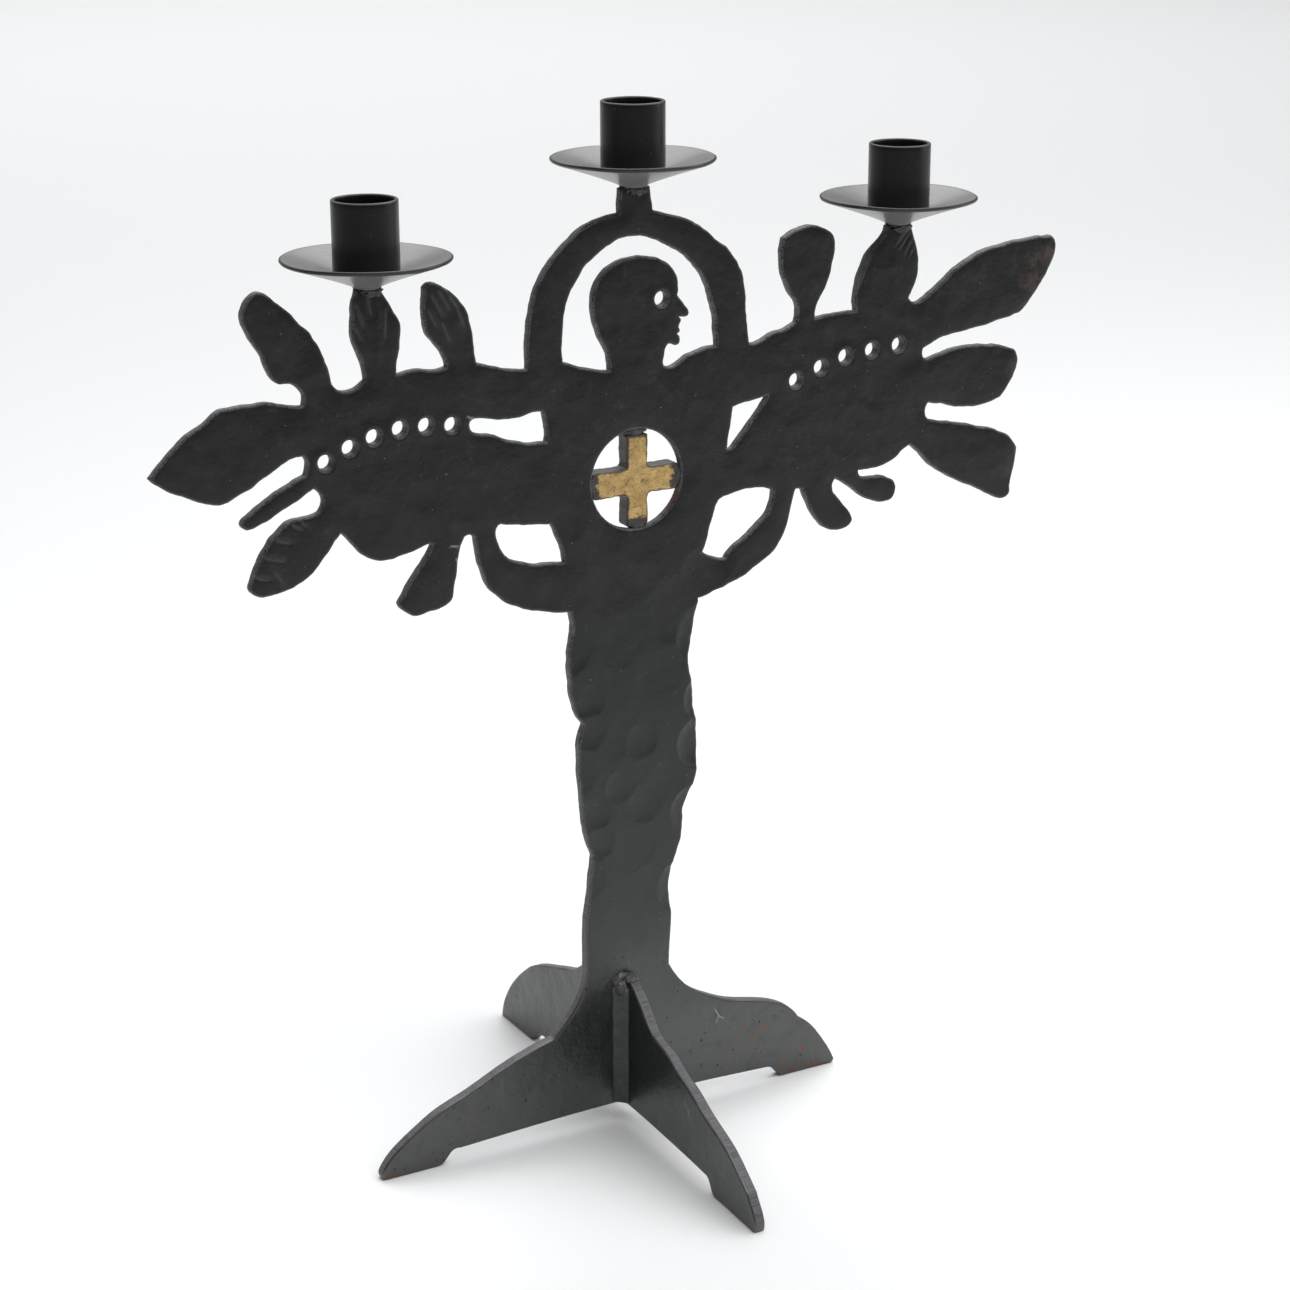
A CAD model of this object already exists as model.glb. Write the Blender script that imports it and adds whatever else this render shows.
"""Looks for the three-light steel candelabra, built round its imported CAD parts.

The plates are remade from the CAD outlines as dense meshes with rounded arrises,
hammer dents and chiselled veins. Pans, tubes, welds and the brass cross follow.
Lengths in the tables are millimetres; every mesh is in metres in the CAD frame.
"""

import math
import random

import bmesh
import bpy
import numpy as np
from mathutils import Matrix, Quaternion, Vector, kdtree, noise
from mathutils.geometry import delaunay_2d_cdt


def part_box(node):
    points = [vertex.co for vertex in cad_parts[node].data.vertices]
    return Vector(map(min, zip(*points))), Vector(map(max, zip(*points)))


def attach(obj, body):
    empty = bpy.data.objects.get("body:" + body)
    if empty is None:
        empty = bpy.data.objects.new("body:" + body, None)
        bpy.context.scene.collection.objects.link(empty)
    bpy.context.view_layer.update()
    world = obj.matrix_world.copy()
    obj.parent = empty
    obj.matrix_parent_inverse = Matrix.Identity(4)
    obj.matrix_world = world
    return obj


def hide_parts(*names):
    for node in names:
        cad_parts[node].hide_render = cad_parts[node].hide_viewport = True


bl_info = {
    "name": "Steel Tree Candelabra",
    "version": (1, 0, 0),
    "blender": (4, 5, 0),
    "location": "View3D > Sidebar > Candelabra",
    "description": "Builds a hammered steel tree-figure candelabra around its CAD parts",
    "category": "Add Mesh",
}

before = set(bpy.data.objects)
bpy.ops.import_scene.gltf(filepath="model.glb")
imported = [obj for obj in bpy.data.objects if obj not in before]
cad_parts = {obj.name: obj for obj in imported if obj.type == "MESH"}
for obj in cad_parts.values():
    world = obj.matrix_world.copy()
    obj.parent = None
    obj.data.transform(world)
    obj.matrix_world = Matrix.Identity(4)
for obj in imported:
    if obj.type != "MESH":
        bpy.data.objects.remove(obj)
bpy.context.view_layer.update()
MM = 0.001
SIDES = ("left", "centre", "right")

# Chest hole, in mm.
CHEST_X = -0.8
CHEST_HEIGHT = 278.6
CHEST_RIM = 21.0
CROSS_DROP = 1.2

# Tints of marks and wear.
SMUDGE = (0.046, 0.044, 0.042)
DRIP_STREAK = (0.13, 0.135, 0.135)
WORN_ARRIS = (0.140, 0.140, 0.148)
RUSTY_TIP = (0.085, 0.060, 0.046)
BROWN_EDGE = (0.075, 0.052, 0.040)
PIT_BLACK = (0.008, 0.008, 0.008)
SCALE_BLACK = (0.036, 0.036, 0.038)
DRAG_GREY = (0.118, 0.117, 0.130)
BRIGHT_FLECK = (0.30, 0.30, 0.31)
RIM_RUST = (0.22, 0.065, 0.035)
TUBE_BLACK = (0.0055, 0.0055, 0.006)
TUBE_LIP_GREY = (0.11, 0.11, 0.11)
PAN_BLACK = (0.017, 0.017, 0.018)
PAN_RIM_BLACK = (0.010, 0.010, 0.011)
WELD_GREY = (0.062, 0.064, 0.068)
WELD_SCUFF = (0.19, 0.19, 0.195)
DULL_BRASS = (0.40, 0.270, 0.110)
BRASS_STREAK = (0.22, 0.150, 0.065)
BRASS_PIT = (0.050, 0.036, 0.018)
TARNISH = (0.020, 0.020, 0.021)
CROSS_WALL = (0.050, 0.048, 0.047)
PAPER_SHADE = (0.84, 0.845, 0.85)


# ---------------------------------------------------------------- properties
def length(name, text, default):
    """A length in mm that the panel shows in scene units."""
    return bpy.props.FloatProperty(name=name, description=text, default=default * MM, min=0.0, unit="LENGTH")


def colour(name, text, default):
    return bpy.props.FloatVectorProperty(
        name=name, description=text, default=default, subtype="COLOR", size=3, min=0.0, max=1.0)


def spot(name, text, default):
    return bpy.props.FloatVectorProperty(
        name=name, description=text, default=default, subtype="TRANSLATION", size=3, unit="LENGTH")


def brightness(name, text, default):
    return bpy.props.FloatProperty(name=name, description=text, default=default, min=0.0)


class CandelabraSizes(bpy.types.PropertyGroup):
    """Sizes of the hand-made details."""
    arris: length("Arris", "Radius of the rounded edge of a plate", 0.8)
    leaf_thinning: length("Leaf thinning", "How much a hammered leaf edge is thinner on each face", 0.55)
    dent_depth: length("Dent depth", "Depth of the strongest hammer dents", 2.0)
    mesh_step: length("Mesh step", "Spacing of the points inside a plate's face", 1.7)
    front_lean: length("Front foot lean", "How far the front foot leans to the left at its tip", 2.4)


class CandelabraFinish(bpy.types.PropertyGroup):
    """Colours of the paint, the steel and the brass."""
    paint: colour("Paint", "Black paint on the plates", (0.0080, 0.0083, 0.0087))
    steel: colour("Bare steel", "Grey-green steel that shows through on the feet", (0.104, 0.110, 0.107))
    cut_edge: colour("Cut edge", "Flame-cut edge of a plate", (0.135, 0.135, 0.143))
    rust: colour("Rust", "Rust specks", (0.200, 0.075, 0.030))
    dust: colour("Dust", "Pale dust and scratches", (0.300, 0.300, 0.300))
    brass: colour("Brass", "Worn face of the chest cross", (0.610, 0.430, 0.180))


class CandelabraStage(bpy.types.PropertyGroup):
    """Camera, floor and lamps."""
    lens: bpy.props.FloatProperty(
        name="Lens", description="Focal length, 36 mm sensor", default=79.18, min=10.0, unit="CAMERA")
    camera_place: spot("Camera place", "Where the camera stands", (-0.53026, -0.95031, 0.56514))
    camera_target: spot("Camera target", "The point in the middle of the view", (0.00368, 0.0, 0.20842))
    camera_roll: bpy.props.FloatProperty(
        name="Camera roll", description="Turn of the camera about its line of sight",
        default=math.radians(-0.13), subtype="ANGLE")
    room_light: brightness("Room light", "Brightness of the front of the room", 0.13)
    backdrop_light: brightness("Backdrop light", "Brightness of the room behind the piece", 0.45)
    floor_colour: colour("Floor", "Pale floor and backdrop", (0.90, 0.905, 0.91))


def sizes():
    return bpy.context.scene.candelabra_sizes


def finish_colours():
    return bpy.context.scene.candelabra_finish


# ---------------------------------------------------------------- shader maths
class Wire:
    """A value socket that adds Math nodes when it is used in an expression."""

    def __init__(self, nodes, socket):
        self.nodes = nodes
        self.socket = socket

    def maths(self, operation, first, second=0.0):
        return self.nodes.node("ShaderNodeMath", {"operation": operation}, {0: first, 1: second})[0]

    def __add__(self, other):
        return self.maths("ADD", self, other)

    def __radd__(self, other):
        return self.maths("ADD", other, self)

    def __sub__(self, other):
        return self.maths("SUBTRACT", self, other)

    def __rsub__(self, other):
        return self.maths("SUBTRACT", other, self)

    def __mul__(self, other):
        return self.maths("MULTIPLY", self, other)

    def __rmul__(self, other):
        return self.maths("MULTIPLY", other, self)

    def above(self, low, high, first=0.0, last=1.0):
        """first below low, last above high, and smooth between them."""
        settings = {"interpolation_type": "SMOOTHSTEP"}
        inputs = {0: self, 1: low, 2: high, 3: first, 4: last}
        return self.nodes.node("ShaderNodeMapRange", settings, inputs)[0]

    def below(self, low, high):
        return 1.0 - self.above(low, high)

    def maximum(self, other):
        return self.maths("MAXIMUM", self, other)

    def root(self):
        return self.maths("SQRT", self)


class Outputs:
    """The output sockets of one node, by place or by name."""

    def __init__(self, nodes, node):
        self.nodes = nodes
        self.node = node

    def __getitem__(self, key):
        return Wire(self.nodes, self.node.outputs[key])


class Nodes:
    """A node tree that nodes are added to."""

    def __init__(self, tree):
        self.tree = tree

    def give(self, node, key, value):
        """Set or link one input socket."""
        if isinstance(value, Wire):
            self.tree.links.new(value.socket, node.inputs[key])
        else:
            node.inputs[key].default_value = value

    def node(self, kind, settings=None, inputs=None):
        """Add one node: its settings are set first, then its sockets' values or links."""
        made = self.tree.nodes.new(kind)
        for key, value in (settings or {}).items():
            setattr(made, key, value)
        for key, value in (inputs or {}).items():
            self.give(made, key, value)
        return Outputs(self, made)


class Finish(Nodes):
    """One procedural material and the nodes in it."""

    def __init__(self, name):
        self.material = bpy.data.materials.new(name)
        self.material.use_nodes = True
        super().__init__(self.material.node_tree)
        self.surface = self.tree.nodes["Principled BSDF"]
        self.place = self.node("ShaderNodeTexCoord")["Object"]

    def feed(self, name, value):
        """Set or link one socket of the surface shader."""
        self.give(self.surface, name, value)

    def stretched(self, across, thick, up):
        """Object coordinates scaled on each axis."""
        settings = {"operation": "MULTIPLY"}
        return self.node("ShaderNodeVectorMath", settings, {0: self.place, 1: (across, thick, up)})[0]

    def grain(self, scale, detail=2.0, rough=0.5, place=None):
        """Noise between 0 and 1, with scale in features per metre."""
        inputs = {"Vector": place or self.place, "Scale": scale, "Detail": detail, "Roughness": rough}
        return self.node("ShaderNodeTexNoise", None, inputs)["Fac"]

    def mix(self, factor, first, second):
        """Mix two colours, each one a wire or three numbers."""
        colours = [tone if isinstance(tone, Wire) else (*tone, 1.0) for tone in (first, second)]
        inputs = {0: factor, 6: colours[0], 7: colours[1]}
        return self.node("ShaderNodeMix", {"data_type": "RGBA"}, inputs)[2]

    def axes(self):
        """Object coordinates as three values."""
        split = self.node("ShaderNodeSeparateXYZ", None, {0: self.place})
        return split[0], split[1], split[2]

    def attribute(self, name):
        return self.node("ShaderNodeAttribute", {"attribute_name": name})["Fac"]

    def bump(self, height, depth, under=None):
        """Surface relief: height from 0 to 1 stands for depth in metres."""
        inputs = {"Height": height, "Strength": 1.0, "Distance": depth}
        if under is not None:
            inputs["Normal"] = under
        return self.node("ShaderNodeBump", None, inputs)["Normal"]


def near_chest(x, z):
    """1 at the rim of the chest hole and inside it, and 0 outside."""
    east = x - CHEST_X * MM
    north = z - CHEST_HEIGHT * MM
    gap = (east * east + north * north).root()
    return gap.below(CHEST_RIM * MM, (CHEST_RIM + 0.8) * MM)


def painted_steel(name):
    """Semi-matt black paint, thinner and greener towards the feet, with dust, rust and worn arrises."""
    colours = finish_colours()
    f = Finish(name)
    x, _, z = f.axes()
    edge = f.attribute("edge")
    scar = f.attribute("scar")
    cloud = f.grain(22.0, 4.0, 0.6)
    mottle = f.grain(150.0, 5.0, 0.65)
    fine = f.grain(1500.0, 3.0, 0.6)
    streak = f.grain(1.0, 3.0, 0.6, f.stretched(260.0, 260.0, 45.0))

    # thin paint: the feet show the most steel, and the trunk shows less as it rises
    feet = (z + (cloud - 0.5) * 0.07).below(0.010, 0.115)
    trunk = z.below(0.07, 0.27)
    bare = feet * (0.45 + mottle * 0.5) + trunk * 0.42
    base = f.mix(bare, tuple(colours.paint), tuple(colours.steel))
    base = f.mix(mottle.above(0.50, 0.78) * 0.30, base, SMUDGE)
    base = f.mix(streak.above(0.58, 0.72) * z.below(0.05, 0.09) * 0.35, base, DRIP_STREAK)

    # wear and browning along the arrises, and on the tip of the highest leaf
    rubbed = fine.above(0.36, 0.58) * 0.7 + mottle.above(0.45, 0.6) * 0.3
    base = f.mix(edge.below(0.15, 1.3) * rubbed * 0.85, base, WORN_ARRIS)
    tip = x.above(0.176, 0.186) * z.above(0.25, 0.26) * z.below(0.35, 0.36)
    base = f.mix(tip * mottle.above(0.40, 0.60) * 0.5, base, RUSTY_TIP)
    brown = f.grain(60.0, 2.0, 0.5).above(0.55, 0.70) * edge.below(0.5, 3.0)
    base = f.mix(brown * 0.15, base, BROWN_EDGE)

    # dust specks everywhere, then pits and rust specks on the feet
    speck = f.grain(1000.0, 1.0, 0.4).above(0.785, 0.81)
    base = f.mix(speck * 0.5, base, tuple(colours.dust))
    pit = f.grain(520.0, 2.0, 0.5).below(0.26, 0.31) * z.below(0.07, 0.10)
    base = f.mix(pit * 0.7, base, PIT_BLACK)
    right_foot = x.above(0.030, 0.055) * z.below(0.024, 0.040)
    left_foot = x.below(-0.075, -0.045) * z.below(0.020, 0.040) * 0.45
    rusty = f.grain(330.0, 2.5, 0.6).above(0.615, 0.68) * right_foot.maximum(left_foot)
    soak = z.below(0.0012, 0.0045) * mottle.above(0.42, 0.66) * 0.6
    base = f.mix(rusty.maximum(soak), base, tuple(colours.rust))
    base = f.mix(scar * (0.35 + fine * 0.6), base, tuple(colours.dust))

    f.feed("Base Color", base)
    f.feed("Metallic", bare * 1.1 * (1.0 - rusty))
    f.feed("Roughness", 0.25 + mottle * 0.14 + fine * 0.08)
    f.feed("Specular IOR Level", 0.30)
    low = f.bump(f.grain(110.0, 3.0, 0.55), 0.55 * MM)
    f.feed("Normal", f.bump(f.grain(1100.0, 3.0, 0.6), 0.08 * MM, low))
    return f.material


def cut_steel(name, thick_axis):
    """Flame-cut edge: drag lines run across the thickness, over painted scale."""
    colours = finish_colours()
    f = Finish(name)
    x, _, z = f.axes()
    along = 1250.0
    across = 45.0
    scales = (across, along, along) if thick_axis == "x" else (along, across, along)
    drag = f.grain(1.0, 1.5, 0.5, f.stretched(*scales))
    cloud = f.grain(220.0, 3.0, 0.6)
    fine = f.grain(1900.0, 2.0, 0.6)
    base = f.mix(drag.above(0.25, 0.75) * 0.6 + cloud * 0.4, SCALE_BLACK, tuple(colours.cut_edge))
    low_down = z.below(0.045, 0.080)
    base = f.mix(low_down * (drag.above(0.38, 0.60) * 0.75 + 0.2), base, DRAG_GREY)
    base = f.mix(low_down * fine.above(0.60, 0.70) * 0.5, base, BRIGHT_FLECK)
    rim_rust = near_chest(x, z) * x.above(0.006, 0.016) * cloud.above(0.35, 0.6)
    base = f.mix(rim_rust, base, RIM_RUST)
    f.feed("Base Color", base)
    f.feed("Roughness", 0.44 + cloud * 0.2)
    f.feed("Specular IOR Level", 0.45)
    low = f.bump(drag, 0.12 * MM)
    f.feed("Normal", f.bump(fine, 0.05 * MM, low))
    return f.material


def tube_paint(name):
    """Semi-gloss black on the candle tubes, with a little dust and a rubbed lip."""
    f = Finish(name)
    speck = f.grain(1300.0, 1.0, 0.4).above(0.77, 0.80)
    base = f.mix(speck * 0.35, TUBE_BLACK, tuple(finish_colours().dust))
    base = f.mix(f.attribute("lip") * 0.5, base, TUBE_LIP_GREY)
    f.feed("Base Color", base)
    f.feed("Specular IOR Level", 0.30)
    f.feed("Roughness", 0.25 + f.grain(300.0, 3.0, 0.6) * 0.10)
    f.feed("Normal", f.bump(f.grain(1400.0, 2.0, 0.5), 0.03 * MM))
    return f.material


def pan_paint(name):
    """Satin black on the drip pans, dusty on top."""
    colours = finish_colours()
    f = Finish(name)
    fine = f.grain(1500.0, 3.0, 0.7)
    cloud = f.grain(70.0, 3.0, 0.6)
    dust = 0.42 + fine.above(0.42, 0.68) * cloud.above(0.25, 0.7) * 0.30
    base = f.mix(dust, PAN_BLACK, tuple(colours.dust))
    speck = f.grain(800.0, 1.0, 0.4).above(0.77, 0.80) * 0.4
    base = f.mix(speck, base, tuple(colours.dust))
    base = f.mix(f.attribute("lip"), base, PAN_RIM_BLACK)
    f.feed("Base Color", base)
    f.feed("Roughness", 0.22 + cloud * 0.10 + fine * 0.10)
    f.feed("Normal", f.bump(fine, 0.03 * MM))
    return f.material


def weld_metal(name):
    """Painted-over weld bead: rippled and a little lighter than the plate."""
    f = Finish(name)
    colours = finish_colours()
    _, _, z = f.axes()
    cloud = f.grain(260.0, 3.0, 0.55)
    fine = f.grain(1600.0, 3.0, 0.6)
    scuff = f.grain(1.0, 2.0, 0.5, f.stretched(900.0, 300.0, 500.0))
    base = f.mix(0.35 + cloud.above(0.3, 0.8) * 0.6, tuple(colours.paint), WELD_GREY)
    foot_tops = z.above(0.058, 0.063) * z.below(0.08, 0.1)
    base = f.mix(foot_tops * (0.2 + scuff.above(0.54, 0.64) * 0.6), base, WELD_SCUFF)
    base = f.mix(fine.above(0.68, 0.76) * 0.4, base, tuple(colours.dust))
    f.feed("Base Color", base)
    f.feed("Roughness", 0.36 + cloud * 0.2)
    f.feed("Normal", f.bump(cloud, 0.25 * MM))
    return f.material


def worn_brass(name):
    """Brass plate: bright worn face with dark streaks and pits, tarnished at the arms' ends."""
    f = Finish(name)
    x, y, z = f.axes()
    cloud = f.grain(190.0, 4.0, 0.65)
    streak = f.grain(1.0, 3.0, 0.6, f.stretched(260.0, 260.0, 900.0))
    pits = f.grain(1100.0, 2.0, 0.5)
    base = f.mix(cloud.above(0.30, 0.70), DULL_BRASS, tuple(finish_colours().brass))
    base = f.mix(streak.above(0.54, 0.68) * 0.6, base, BRASS_STREAK)
    base = f.mix(pits.above(0.62, 0.70) * 0.8, base, BRASS_PIT)
    east = x - CHEST_X * MM
    north = z - (CHEST_HEIGHT - CROSS_DROP) * MM
    wobble = (cloud - 0.5) * 0.010 + (pits - 0.5) * 0.003
    ends = (east + wobble).below(-0.0172, -0.0160)
    ends = ends.maximum((east + wobble).above(0.0158, 0.0172))
    ends = ends.maximum((north + wobble).below(-0.0152, -0.0138))
    ends = ends.maximum((north + wobble).above(0.0190, 0.0200))
    ends = ends.maximum((f.attribute("edge") + wobble * 260.0).below(0.55, 0.95) * 0.9)
    base = f.mix(ends * 0.95, base, TARNISH)
    walls = y.above(-0.4 * MM, 0.1 * MM) * 0.95
    base = f.mix(walls, base, CROSS_WALL)
    f.feed("Base Color", base)
    tarnish = ends.maximum(walls)
    f.feed("Metallic", 0.85 - tarnish * 0.75)
    f.feed("Roughness", 0.38 + cloud * 0.22)
    low = f.bump(cloud, 0.5 * MM)
    f.feed("Normal", f.bump(pits, 0.12 * MM, low))
    return f.material


FINISHES = {
    "painted steel": (painted_steel,),
    "cut edge": (cut_steel, "y"),
    "foot cut edge": (cut_steel, "x"),
    "tube paint": (tube_paint,),
    "pan paint": (pan_paint,),
    "weld": (weld_metal,),
    "brass": (worn_brass,),
}
MADE = {}


def finish_of(name):
    """Each finish is made once and shared."""
    if name not in MADE:
        maker, *extra = FINISHES[name]
        MADE[name] = maker(name, *extra)
    return MADE[name]


# ---------------------------------------------------------------- plates from the CAD outlines
# Rings of points this far inside the outline, in mm, and the share of it that a ring's point must keep.
RING_GAPS = (0.14, 0.42, 0.95, 1.7)
RING_KEEP = 0.88
# The grid and the details keep this far from the outline, and the grid this far from the details.
GRID_MARGIN = 2.4
DETAIL_MARGIN = 1.9
DETAIL_ROOM = 0.8
# Unevenness of a wall in mm, and the edge distance that keeps a wall free of wear.
WALL_SWAY = 0.05
WALL_WEAR = 3.0


def flat_loops(node, thick, level):
    """Closed outlines, in mm, of a plate's flat face. thick is the axis it lies across."""
    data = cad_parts[node].data
    places = np.array([vertex.co for vertex in data.vertices]) / MM
    keep = [axis for axis in range(3) if axis != thick]
    keys = {}
    index = []
    for place in places:
        index.append(keys.setdefault(tuple(np.round(place, 3)), len(keys)))
    welded = np.array(list(keys.keys()))
    edges = {}
    for face in data.polygons:
        ring = [index[i] for i in face.vertices]
        if all(abs(welded[i][thick] - level) < 0.01 for i in ring):
            for a, b in zip(ring, ring[1:] + ring[:1]):
                if (b, a) in edges:
                    del edges[(b, a)]
                else:
                    edges[(a, b)] = True
    following = {a: b for a, b in edges}
    loops = []
    while following:
        start, step = next(iter(following.items()))
        loop = [start]
        del following[start]
        while step != start:
            loop.append(step)
            step = following.pop(step)
        loops.append(welded[loop][:, keep])
    return loops


def respaced(loop, step, corner=math.radians(24)):
    """The same closed outline with even spacing, and its corners kept."""
    before = loop - np.roll(loop, 1, axis=0)
    after = np.roll(loop, -1, axis=0) - loop
    turn = np.arctan2(before[:, 0] * after[:, 1] - before[:, 1] * after[:, 0],
                      (before * after).sum(axis=1))
    corners = [i for i in range(len(loop)) if abs(turn[i]) > corner] or [0]
    points = []
    for place, start in enumerate(corners):
        end = corners[(place + 1) % len(corners)]
        count = (end - start) % len(loop) or len(loop)
        stretch = loop[[(start + i) % len(loop) for i in range(count + 1)]]
        lengths = np.r_[0, np.cumsum(np.linalg.norm(np.diff(stretch, axis=0), axis=1))]
        pieces = max(1, round(lengths[-1] / step))
        for at in np.linspace(0, lengths[-1], pieces, endpoint=False):
            points.append([np.interp(at, lengths, stretch[:, 0]), np.interp(at, lengths, stretch[:, 1])])
    return np.array(points)


def inside(points, loops):
    """Which points lie in the plate: an odd count of outlines is crossed."""
    odd = np.zeros(len(points), bool)
    for loop in loops:
        for (x0, y0), (x1, y1) in zip(loop, np.roll(loop, -1, axis=0)):
            if y0 != y1:
                crosses = (points[:, 1] > min(y0, y1)) & (points[:, 1] <= max(y0, y1))
                where = x0 + (points[:, 1] - y0) * (x1 - x0) / (y1 - y0)
                odd ^= crosses & (points[:, 0] < where)
    return odd


def nearest(places):
    """A function that gives the distance in mm from points to the nearest of some places."""
    tree = kdtree.KDTree(len(places))
    for number, (x, y) in enumerate(places):
        tree.insert((x, y, 0.0), number)
    tree.balance()
    return lambda points: np.array([tree.find((x, y, 0.0))[2] for x, y in points])


def hex_grid(loops, step):
    """Evenly staggered points over the plate's box."""
    low = np.concatenate(loops).min(axis=0)
    high = np.concatenate(loops).max(axis=0)
    rows = np.arange(low[1], high[1], step * math.sqrt(3) / 2)
    points = []
    for number, row in enumerate(rows):
        xs = np.arange(low[0] + (step / 2 if number % 2 else 0), high[0], step)
        points.append(np.column_stack([xs, np.full(len(xs), row)]))
    return np.concatenate(points)


def points_inside(loops, details, grid_step, find):
    """Points inside the outlines: rings that crowd towards the edge, details, and an even grid."""
    inner = []
    for loop in loops:
        along = np.roll(loop, -1, axis=0) - np.roll(loop, 1, axis=0)
        along /= np.maximum(np.linalg.norm(along, axis=1, keepdims=True), 1e-9)
        normal = np.column_stack([-along[:, 1], along[:, 0]])
        for gap in RING_GAPS:
            for sign in (-1, 1):
                ring = loop + sign * normal * gap
                inner.append(ring[find(ring) > RING_KEEP * gap])
    grid = hex_grid(loops, grid_step)
    grid = grid[find(grid) > GRID_MARGIN]
    if len(details):
        grid = grid[nearest(details)(grid) > DETAIL_ROOM]
        inner.append(details[find(details) > DETAIL_MARGIN])
    inner.append(grid)
    inner = np.concatenate(inner)
    return inner[inside(inner, loops)]


def triangulated(loops, inner):
    """Triangles over a plate's face: points, faces, and which points lie on an outline."""
    border = np.concatenate(loops)
    edges = []
    start = 0
    for loop in loops:
        count = len(loop)
        edges += [(start + i, start + (i + 1) % count) for i in range(count)]
        start += count
    flat = [Vector(point) for point in np.concatenate([border, inner])]
    points, _, faces, sources, _, _ = delaunay_2d_cdt(flat, edges, [], 0, 1e-5)
    points = np.array(points)
    faces = np.array(faces)
    on_border = np.array([any(i < len(border) for i in source) for source in sources])
    rim_only = on_border[faces].all(axis=1)
    keep = np.ones(len(faces), bool)
    keep[rim_only] = inside(points[faces[rim_only]].mean(axis=1), loops)
    return points, faces[keep], on_border


def plate_mesh(loops, details, skin, wall_rows, grid_step, place):
    """A closed plate: both faces follow skin(points, distances), joined by a wall.

    skin gives each point's front height and back height in mm, and its scar value.
    place turns (point, height) into metres in the CAD frame.
    """
    find = nearest(np.concatenate([respaced(loop, 0.25) for loop in loops]))
    points, faces, on_border = triangulated(loops, points_inside(loops, details, grid_step, find))
    gaps = np.where(on_border, 0.0, find(points))
    front, back, scar = skin(points, gaps)
    total = len(points)
    verts = [place(p, -h) for p, h in zip(points, front)] + [place(p, h) for p, h in zip(points, back)]
    wear = list(gaps) * 2
    scars = list(scar) + [0.0] * total
    tris = [tuple(face) for face in faces] + [tuple(total + i for i in reversed(face)) for face in faces]
    kinds = [0] * len(tris)
    used = {(int(a), int(b)): True for face in faces for a, b in zip(face, np.roll(face, -1))}
    rim = [(a, b) for a, b in used if (b, a) not in used]
    ladder = {}
    for a, b in rim:
        for i in (a, b):
            if i in ladder:
                continue
            steps = []
            for row in range(1, wall_rows):
                height = -front[i] + (front[i] + back[i]) * row / wall_rows
                sway = WALL_SWAY * noise.noise(Vector((points[i][0] * 0.7, points[i][1] * 0.7, row * 0.35)))
                verts.append(place(points[i] + sway, height))
                wear.append(WALL_WEAR)
                scars.append(0.0)
                steps.append(len(verts) - 1)
            ladder[i] = [i] + steps + [total + i]
        for row in range(wall_rows):
            tris.append((ladder[b][row], ladder[a][row], ladder[a][row + 1], ladder[b][row + 1]))
            kinds.append(1)
    return verts, tris, kinds, {"edge": wear, "scar": scars}


def add_piece(name, verts, faces, finishes, node_names, kinds=None, values=None):
    """Make one smooth mesh object that stands for its CAD nodes."""
    mesh = bpy.data.meshes.new(name)
    mesh.from_pydata([tuple(v) for v in verts], [], faces)
    for finish in finishes:
        mesh.materials.append(finish_of(finish))
    if kinds:
        mesh.polygons.foreach_set("material_index", kinds)
    mesh.polygons.foreach_set("use_smooth", [True] * len(mesh.polygons))
    for key, numbers in (values or {}).items():
        mesh.attributes.new(key, "FLOAT", "POINT").data.foreach_set("value", numbers)
    work = bmesh.new()
    work.from_mesh(mesh)
    bmesh.ops.recalc_face_normals(work, faces=work.faces)
    work.to_mesh(mesh)
    work.free()
    mesh.update()
    piece = bpy.data.objects.new(name, mesh)
    bpy.context.scene.collection.objects.link(piece)
    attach(piece, "root")
    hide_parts(*node_names)
    return piece


# ---------------------------------------------------------------- hammered figure and feet
HALF_PLATE = 2.5
# Soft blows: how many, the seed of the draw, the lowest height in mm, and the depth in mm.
SOFT_FRONT = (230, 7, 84.0, 0.42)
SOFT_BACK = (200, 19, 84.0, 0.45)
# Hand cutting starts above this height, and leaf edges are thinned above the next one.
CUT_FROM = 88.0
WING_FROM = 232.0
# Drilled holes: widest outline that is one, countersink's radius, and the flat ring kept round each.
DRILL_WIDTH = 8.0
SINK_RADIUS = 4.0
KEPT_RING = 4.6
# A scuff on the front foot: from y, z to y, z.
FOOT_SCUFF = (-56.0, 31.0, -61.0, 26.5)
# Hammer blows that can be told apart: centre x, z, radius and depth share.
EDGE_BLOWS = (
    (29.5, 211, 13, 1.3), (32.5, 182, 12, 1.3), (28.8, 163, 11.5, 1.3), (26.0, 133, 12, 1.1),
    (19.5, 101, 12, 1.2), (-33.0, 212, 11, 0.5), (-30.0, 190, 9, 0.45), (-30.5, 158, 10, 0.5),
    (-26.5, 137, 9, 0.45), (-25.0, 112, 9, 0.4),
)
FACE_BLOWS = (
    (0.5, 168, 8, 0.55), (-8.5, 150, 8, 0.5), (2.5, 141, 9, 0.6), (-23.5, 189, 8, 0.7),
    (-22.0, 176, 8, 0.6), (-20.5, 140, 8, 0.7), (-19.0, 127, 8, 0.6), (14.5, 222, 15, 0.45),
    (8.0, 196, 11, 0.3), (-12.0, 171, 9, 0.3), (-8.0, 214, 13, 0.3), (12.0, 150, 10, 0.35),
    (-4.0, 122, 11, 0.3), (4.0, 104, 10, 0.3), (-12.0, 236, 14, 0.35), (30.0, 236, 11, 0.4),
    (37.0, 240, 9, 0.4),
)
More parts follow.
